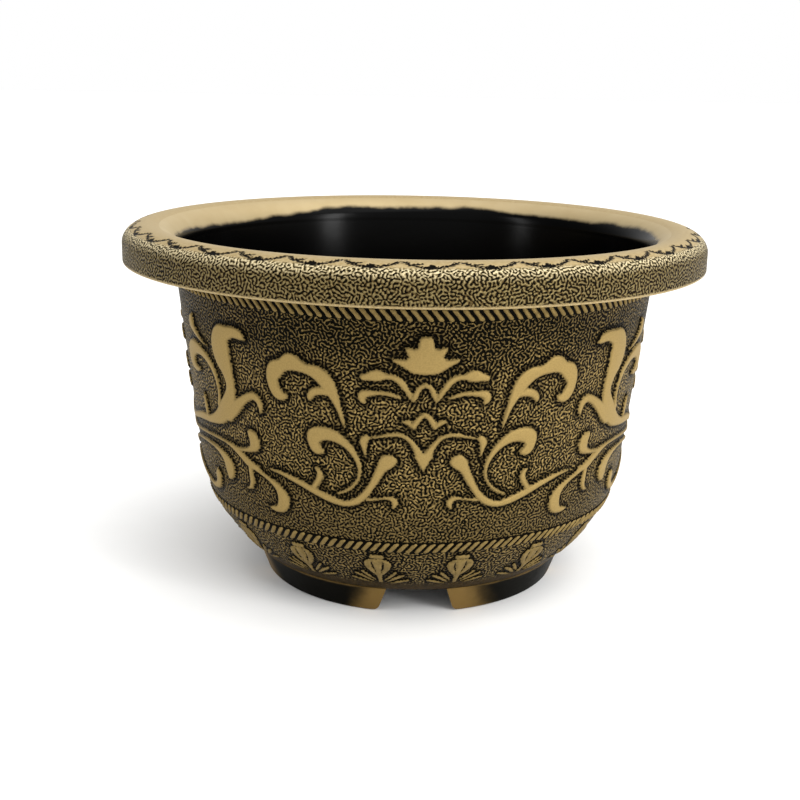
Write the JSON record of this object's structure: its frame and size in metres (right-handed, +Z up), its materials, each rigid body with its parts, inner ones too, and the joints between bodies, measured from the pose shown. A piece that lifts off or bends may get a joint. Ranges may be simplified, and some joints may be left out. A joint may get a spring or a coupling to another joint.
{
  "type": "planter pot",
  "caption": "Round footed planter pot with a broad rolled rim over a hollow skirt, rope bands round a flared bowl, a drained floor and a notched foot ring.",
  "frame": {"origin": "centre of the plane the foot ring stands on", "axes": "+Z up along the pot's axis; -Y is the front, where one foot notch and the main leaf crest lie"},
  "size_m": [0.3, 0.3, 0.1855],
  "materials": {
    "rubbed_rim": "black moulded plastic with a fine crinkled grain, brass-coloured paint rubbed over the high spots",
    "rubbed_wall": "black moulded plastic with raised scrollwork, brass-coloured paint rubbed over the high spots",
    "rubbed_bands": "black moulded plastic with raised slanting strands, brass-coloured paint on their crests",
    "smoky_foot": "smooth black plastic with thin brass-coloured overspray along its edges",
    "brass_lip": "smooth plastic under brass-coloured paint that fades out into the pot",
    "black_inside": "smooth black plastic, glossy from the mould"
  },
  "bodies": {
    "root": {"rim_crown": "rubbed_rim", "rim_skirt": "rubbed_rim", "mouth_collar": "brass_lip", "upper_rope_band": "rubbed_bands", "bowl_wall": "rubbed_wall", "lower_rope_band": "rubbed_bands", "bowl_base": "rubbed_wall", "floor_plate": "black_inside", "foot_segment_1": "smoky_foot", "foot_segment_2": "smoky_foot", "foot_segment_3": "smoky_foot", "foot_segment_4": "smoky_foot"}
  },
  "joints": []
}
